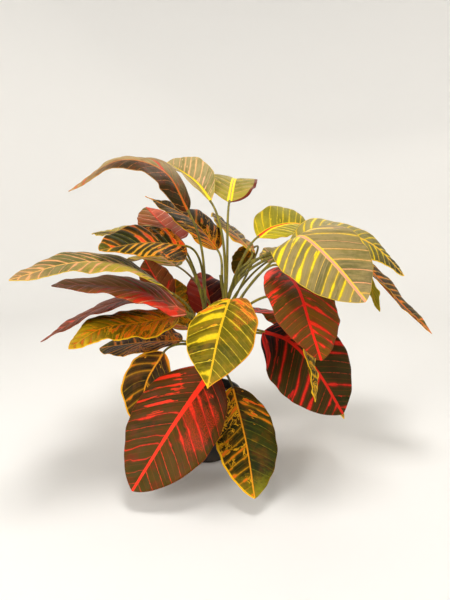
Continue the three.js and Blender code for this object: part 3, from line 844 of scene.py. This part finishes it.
    # The midrib with its border, and the margin.
    midrib, foot_width, tip_width = look["midrib"]
    from_rib = away + ragged * RIB_RAGGED
    half = n.step(n.math("SQRT", n.math("MAXIMUM", along, 0)), 0, 1, foot_width / 2, tip_width / 2)
    if look["border"][1]:
        wide = (half + pick("border", 1)) * n.step(along, 0.6, 1, 1, 0.8)
        n.paint(within(from_rib, wide, 0.4), look["border"][0])
    rib = within(from_rib, half, 0.5)
    n.paint(rib, midrib)
    edge = away / n.math("MAXIMUM", share, 0.1) - away + ragged * MARGIN_RAGGED
    broken = n.noise(n.vector(number * 0.9, side, 7), 1, 3)
    taken = n.step(broken + pick("margin", 2), 0.85, 1.15)
    rim = within(edge, taken * pick("margin", 1), 0.4)
    n.paint(rim * n.step(taken, 0, 0.3), pick("margin", 0))
    if under:
        n.paint(0.45, pick("shades", 1))
        n.paint(rib, n.mix(0.4, midrib, UNDER_RIB))

    # Two kinds of relief: the skin's grain and its cells, and what stands proud along the veins.
    skin = n.noise(spot, 70, 4, 0.6) * 0.5 + tissue * 0.35
    n.bump(skin + (line + rib) * VEIN_RELIEF[under], RELIEF, 0.6)
    n.put(n.shader.inputs["Specular IOR Level"], SPECULAR[under])
    return n.finish(n.step(n.noise(spot, 12, 3), 0.3, 0.7, *ROUGHNESS[under]))


def look_share(look, key):
    """How much of the blade the foot's or tip's colour reaches over: the larger of the two halves."""
    return max(value[2] for value in both(look[key]))


KINDS = {
    "leaf_red": ("scarlet", "plum", "russet", "rose", "arch"),
    "leaf_pale": ("sage", "olive"),
    "leaf_amber": ("ember", "flame", "gold"),
}
SLOTS = {kind: slot for slot, kinds in KINDS.items() for kind in kinds}
PATTERN_STEP = 3.7  # between the patterns of one leaf and the next


def make_leaf(stem, index, leaf, seed):
    look = LOOKS[leaf[0]]
    node = f"leaf_{stem}_{index + 1}"
    draw = random.Random(seed)
    piece, length = blade(f"{node}_blade", leaf, WAVE_LEAF_STEP * index, look, draw)
    for under in (False, True):
        name = f"{node}_{'under' if under else 'top'}"
        piece.data.materials.append(leaf_material(name, look, seed * PATTERN_STEP, length, under))
    place(piece, SLOTS[leaf[0].split("_")[0]], node)


# ---- stems

STALK_SIDES, STALK_SPACING = 20, 1.2
PETIOLE_SIDES, PETIOLE_SPACING = 14, 3
PETIOLE_OVERLAP = 3  # how far a leaf's stalk goes in under its blade
COLLAR = (0.5, 3)  # the height and reach of the swelling where a leaf's stalk leaves the stem
SCAR = (0.18, 0.9)  # of the rings where old leaves fell
SCAR_SHARES = np.arange(0.3, 0.95, 0.055)
PETIOLE_FOOT_SWELL = (0.5, 0.04)  # the height in millimetres and the reach as a share of its length
PETIOLE_END_SWELL = (0.3, 0.05)
BARK_HEIGHTS = (0.13, 0.21)  # metres: brown up to the first and green from the second


def tube(name, path, radii, sides, spacing):
    """A closed round tube along a path. radii maps a share of its length to a radius."""
    steps = max(4, round(path.length / spacing))
    share = np.linspace(0, 1, steps + 1)
    along = path.along(share)
    side = unit(np.cross(along[0], (0.3, 1, 0.1)))
    turn = np.linspace(0, 2 * np.pi, sides, endpoint=False)[:, None]
    rings = []
    for centre, ahead, radius in zip(path.at(share), along, radii(share)):
        side = unit(side - ahead * (side @ ahead))
        rings.append(centre + radius * (np.cos(turn) * side + np.sin(turn) * np.cross(ahead, side)))
    ends = [tuple(range(sides))[::-1], tuple(range(steps * sides, (steps + 1) * sides))]
    return mesh_object(name, np.vstack(rings), wall_faces(0, steps + 1, sides) + ends)


def hole_place(angle):
    if angle is None:
        return 0.0, 0.0
    turn = math.radians(angle)
    return HOLE_RING_RADIUS * math.cos(turn), HOLE_RING_RADIUS * math.sin(turn)


def petiole_path(stalk, leaf):
    _, height, points, *_ = leaf
    share = stalk.share_at_height(height)
    root, direction = stalk.at(share), stalk.along(share)
    inward = -spline(points, 0).along(0.0)
    end = np.array(points[0], float) - inward * PETIOLE_OVERLAP
    handle = PETIOLE_HANDLE * np.linalg.norm(end - root)
    return bezier(root, root + direction * handle, end + inward * handle, end)


def joined(body, others):
    """Unites the pieces into one closed mesh."""
    group = bpy.data.collections.new("joining")
    for other in others:
        bpy.context.scene.collection.objects.unlink(other)
        group.objects.link(other)
    union = body.modifiers.new("union", "BOOLEAN")
    union.operation = "UNION"
    union.operand_type = "COLLECTION"
    union.collection = group
    union.solver = "MANIFOLD"
    bpy.context.view_layer.update()
    whole = bpy.data.meshes.new_from_object(body.evaluated_get(bpy.context.evaluated_depsgraph_get()))
    body.modifiers.clear()
    body.data = whole
    for other in others:
        bpy.data.objects.remove(other)
    bpy.data.collections.remove(group)


def stem_material():
    n = Nodes("stem_skin")
    here = n.here()
    _, _, z = n.split(here)
    streak = n.noise(n.add("ShaderNodeMapping", {0: here, "Scale": (1, 1, 0.15)}), 260, 4)
    green = n.mix(n.step(streak, 0.35, 0.65), "564e08", "8a7c14")
    bark = n.mix(n.step(n.noise(here, 180, 4, 0.7), 0.4, 0.65), "403414", "64542c")
    age = z + (n.noise(here, 25, 2) - 0.5) * 0.08
    n.base = n.mix(n.step(age, *BARK_HEIGHTS, 1, 0), green, bark)
    n.paint(n.step(n.noise(here, 14, 3), 0.56, 0.7, 0, 0.5), "6a3a1c")
    n.bump(streak + n.noise(here, 700, 3), 0.0004, 0.7)
    return n.finish(n.step(streak, 0.3, 0.7, 0.42, 0.6))


def make_stem(stem, skin):
    angle, route, leaves = STEMS[stem]
    x, y = hole_place(angle)
    upright = [(x, y, STALK_FOOT_HEIGHT + share * HOLE_DEPTH) for share in UPRIGHT_SHARES]
    stalk = spline(upright + route, 0.5)
    heights = [stalk.share_at_height(leaf[1]) for leaf in leaves]

    def stalk_radius(share):
        radius = STALK_FOOT_RADIUS + (STALK_TIP_RADIUS - STALK_FOOT_RADIUS) * share
        for height in heights:
            radius = radius + swell((share - height) * stalk.length, *COLLAR)
        for scar in SCAR_SHARES:
            radius = radius + swell((share - scar) * stalk.length, *SCAR)
        return radius

    def petiole_radius(share):
        radius = PETIOLE_ROOT_RADIUS + (PETIOLE_END_RADIUS - PETIOLE_ROOT_RADIUS) * share
        return radius + swell(share, *PETIOLE_FOOT_SWELL) + swell(share - 1, *PETIOLE_END_SWELL)

    body = tube(f"stem_{stem}_skin", stalk, stalk_radius, STALK_SIDES, STALK_SPACING)
    others = []
    for k, leaf in enumerate(leaves):
        path = petiole_path(stalk, leaf)
        others.append(tube(f"petiole_{stem}_{k}", path, petiole_radius, PETIOLE_SIDES, PETIOLE_SPACING))
    joined(body, others)
    body.data.materials.clear()
    body.data.materials.append(skin)
    body.data.polygons.foreach_set("use_smooth", [True] * len(body.data.polygons))
    body.data.set_sharp_from_angle(angle=math.radians(50))
    place(body, "stem", f"stem_{stem}")


# ---- pot and soil

POT_SIDES = 160
POT_ROUNDING = 1.2
ARC_STEPS = 4
SOIL_SEED = 11
SOIL_SIDES = 120
SOIL_RINGS = 40
SOIL_GAP = 0.3  # to the pot's wall and floor
SOIL_FOOT_GAP = 0.5  # to its wall at the floor
CRUMB_BORDER = 4  # how far from the soil's edge the crumbs keep

# The soil's bumps: waves per mm outwards, waves round, start and height.
BUMPS = ((0.31, 3, 0.4, 0.5), (0.62, 7, 1.9, 0.35), (1.1, 11, 4.0, 0.3), (0.23, 17, 2.6, 0.25))

# What lies on the soil: name, count, range of size and of flatness, and dark colour, light colour and grain.
CRUMBS = (
    ("crumbs", 520, (0.9, 2.4), (0.7, 1.0), ("1a110a", "46331f", 500)),
    ("bark", 90, (2.0, 4.6), (0.25, 0.5), ("2e1c0e", "6a4526", 300)),
    ("perlite", 60, (0.8, 1.8), (0.8, 1.0), ("b8b2a4", "e0dccf", 700)),
)


def pot_outer(z):
    return POT_BASE_RADIUS + (POT_MOUTH_RADIUS - POT_BASE_RADIUS) * z / POT_HEIGHT


def pot_inner(z):
    return pot_outer(z) - POT_WALL


def rounded(corners, radius):
    """The corners between the first and the last, each rounded by a short arc."""
    outline = []
    for corner in zip(corners, corners[1:], corners[2:]):
        a, b, c = (np.array(point, float) for point in corner)
        reach = min(radius, 0.45 * np.linalg.norm(a - b), 0.45 * np.linalg.norm(c - b))
        start, end = b + unit(a - b) * reach, b + unit(c - b) * reach
        for share in np.linspace(0, 1, ARC_STEPS + 1):
            outline.append(tuple((1 - share) ** 2 * start + 2 * share * (1 - share) * b + share**2 * end))
    return outline


def pot_material():
    n = Nodes("pot_plastic")
    here = n.here()
    _, _, z = n.split(here)
    cloud = n.noise(here, 28, 4, 0.6)
    n.base = n.mix(n.step(cloud, 0.4, 0.7), "101010", "1b1a19")
    dust = n.step(z, 0, 0.03, 1, 0) * n.step(n.noise(here, 60, 5, 0.7), 0.42, 0.62)
    rim_dust = n.step(z, 0.098, 0.116) * n.step(n.noise(here, 95, 5, 0.7), 0.5, 0.66)
    n.paint(n.math("MAXIMUM", dust, rim_dust) * 0.45, "5a4b3a")
    n.bump(n.noise(here, 900, 3) + cloud * 0.4, 0.0003, 0.35)
    return n.finish(n.step(cloud, 0.35, 0.7, 0.36, 0.56))


def make_pot():
    band_foot = POT_HEIGHT - RIM_HEIGHT
    band = pot_outer(POT_HEIGHT) + RIM_DEPTH
    corners = [
        (0, 0),
        (POT_BASE_RADIUS, 0),
        (pot_outer(band_foot), band_foot),
        (band, band_foot),
        (band, POT_HEIGHT),
        (pot_inner(POT_HEIGHT), POT_HEIGHT),
        (pot_inner(POT_FLOOR), POT_FLOOR),
        (0, POT_FLOOR),
    ]
    levels = [[point] * POT_SIDES for point in rounded(corners, POT_ROUNDING)]
    piece = turned("pot_shell", 0, levels, POT_FLOOR)
    piece.data.set_sharp_from_angle(angle=math.radians(40))
    piece.data.materials.append(pot_material())
    place(piece, "pot", "pot")


def soil_material(name, dark, light, scale):
    n = Nodes(name)
    here = n.here()
    lumps = n.noise(here, scale, 5, 0.7)
    n.base = n.mix(n.step(lumps, 0.38, 0.62), dark, light)
    n.bump(lumps + n.noise(here, scale * 4, 3, 0.7) * 0.5, 0.0008, 0.9)
    return n.finish(0.95)


def make_soil():
    """The fill up to its rough surface, with crumbs of peat, bark and perlite lying on it."""
    draw = random.Random(SOIL_SEED)
    edge = pot_inner(SOIL_EDGE_HEIGHT) - SOIL_GAP

    def surface(radius, turn):
        share = radius / edge
        bumps = sum(math.sin(radius * out + turn * about + start) * high for out, about, start, high in BUMPS)
        mound = SOIL_MOUND * (1 - share**2) ** 0.8 if share < 1 else 0
        return SOIL_EDGE_HEIGHT + mound + bumps * min(1, 4 * (1 - share)) * min(1, radius / 6)

    foot = POT_FLOOR + SOIL_GAP
    levels = [[(pot_inner(POT_FLOOR) - SOIL_FOOT_GAP, foot)] * SOIL_SIDES]
    turns = [2 * math.pi * k / SOIL_SIDES for k in range(SOIL_SIDES)]
    for step in range(SOIL_RINGS, 0, -1):
        radius = edge * step / SOIL_RINGS
        levels.append([(radius, surface(radius, turn)) for turn in turns])
    piece = turned("soil_fill", foot, levels, surface(0, 0))
    piece.data.materials.append(soil_material("soil_peat", "1c130b", "3d2c1c", 420))
    place(piece, "soil", "soil")

    for name, count, sizes, flatness, finish in CRUMBS:
        points, faces = [], []
        for _ in range(count):
            radius, turn = (edge - CRUMB_BORDER) * math.sqrt(draw.random()), draw.uniform(0, 2 * math.pi)
            size = draw.uniform(*sizes)
            flat = draw.uniform(*flatness)
            height = surface(radius, turn) + size * flat * 0.35
            lump(points, faces, (radius * math.cos(turn), radius * math.sin(turn), height), size, flat, draw)
        grains = mesh_object(f"soil_{name}", points, faces, smooth=False)
        grains.data.materials.append(soil_material(f"soil_{name}_skin", *finish))
        place(grains, "soil")


def lump(points, faces, centre, size, flat, draw):
    """Adds a small rough lump like a stone: an octahedron cut once, with its corners pushed about."""
    corners = [(1, 0, 0), (0, 1, 0), (-1, 0, 0), (0, -1, 0), (0, 0, 1), (0, 0, -1)]
    sides = [(0, 1, 4), (1, 2, 4), (2, 3, 4), (3, 0, 4), (1, 0, 5), (2, 1, 5), (3, 2, 5), (0, 3, 5)]
    verts = [np.array(corner, float) for corner in corners]
    middles = {}

    def middle(a, b):
        key = (min(a, b), max(a, b))
        if key not in middles:
            middles[key] = len(verts)
            verts.append(unit(verts[a] + verts[b]))
        return middles[key]

    fine = []
    for a, b, c in sides:
        ab, bc, ca = middle(a, b), middle(b, c), middle(c, a)
        fine += [(a, ab, ca), (ab, b, bc), (ca, bc, c), (ab, bc, ca)]
    turn, tilt = draw.uniform(0, 2 * math.pi), draw.uniform(-0.4, 0.4)
    stretch = draw.uniform(0.6, 1.0)
    spin = np.array([[math.cos(turn), -math.sin(turn), 0], [math.sin(turn), math.cos(turn), 0], [0, 0, 1]])
    lean = np.array([[math.cos(tilt), 0, math.sin(tilt)], [0, 1, 0], [-math.sin(tilt), 0, math.cos(tilt)]])
    first = len(points)
    for vert in verts:
        shaped = vert * draw.uniform(0.78, 1.12) * size * np.array([1, stretch, flat])
        points.append(tuple(np.array(centre) + spin @ (lean @ shaped)))
    faces += [(first + a, first + b, first + c) for a, b, c in fine]


# ---- stage, lights and camera

STAGE_SIDES = 96
STAGE_FLAT = 1250
STAGE_BEND = 450
STAGE_TOP = 2600
STAGE_PAINT = "eeedeb"
AIM = (0.03, 0.0, 0.25)

# Each light: its name, place, size, energy and tint.
LIGHTS = (
    ("overhead", (0.1, -0.35, 1.9), 0.6, 16, (1.0, 0.98, 0.95)),
    ("front_left", (-0.9, -1.3, 1.0), 0.6, 13, (1.0, 0.98, 0.94)),
    ("behind", (0.5, 1.1, 1.3), 1.0, 5, (1.0, 0.95, 0.86)),
)
SKY = (1.0, 0.99, 0.97, 1.0)
SKY_STRENGTH = 0.3

SENSOR = 36
FOCAL_SHARE = 462 / 600  # the focal length over the picture's height, as the photograph's perspective has it
CAMERA_PLACE = (0.033, -0.765, 0.440)
CAMERA_TILT = 12  # degrees down


def make_stage():
    """A pale floor that curves up all round into a pale wall."""
    outline = [(STAGE_FLAT * k / 6, 0) for k in range(1, 7)]
    for turn in np.linspace(0.1, math.pi / 2, 14):
        outline.append((STAGE_FLAT + STAGE_BEND * math.sin(turn), STAGE_BEND * (1 - math.cos(turn))))
    outline.append((STAGE_FLAT + STAGE_BEND, STAGE_TOP))
    points = [(0, 0, 0)]
    for point in outline:
        points += ring([point] * STAGE_SIDES)
    faces = fan_faces(0, 1, STAGE_SIDES) + flipped(wall_faces(1, len(outline), STAGE_SIDES))
    floor = mesh_object("stage_floor", points, faces)
    n = Nodes("stage_paint")
    n.base = STAGE_PAINT
    floor.data.materials.append(n.finish(0.9))


def make_lights():
    for name, spot, size, energy, tint in LIGHTS:
        light = bpy.data.lights.new(name, "AREA")
        light.shape = "DISK"
        light.size = size
        light.energy = energy
        light.color = tint
        holder = link(name, light)
        holder.location = spot
        x, y, z = unit(np.subtract(AIM, spot))
        holder.rotation_euler = (math.acos(-z), 0.0, math.atan2(-x, y))  # its -Z axis points at the plant
    world = bpy.data.worlds.new("studio")
    world.use_nodes = True
    back = world.node_tree.nodes["Background"]
    back.inputs["Color"].default_value = SKY
    back.inputs["Strength"].default_value = SKY_STRENGTH
    bpy.context.scene.world = world
    bpy.context.scene.view_settings.view_transform = "Standard"


def make_camera():
    lens = bpy.data.cameras.new("camera")
    lens.sensor_width = SENSOR
    lens.lens = SENSOR * FOCAL_SHARE
    camera = link("camera", lens)
    camera.location = CAMERA_PLACE
    camera.rotation_euler = (math.radians(90 - CAMERA_TILT), 0, 0)
    bpy.context.scene.camera = camera


# ---- the whole scene

make_camera()
make_lights()
make_stage()
make_pot()
make_soil()
skin = stem_material()
seed = 1
for stem, (_, _, leaves) in STEMS.items():
    make_stem(stem, skin)
    for index, leaf in enumerate(leaves):
        make_leaf(stem, index, leaf, seed)
        seed += 1
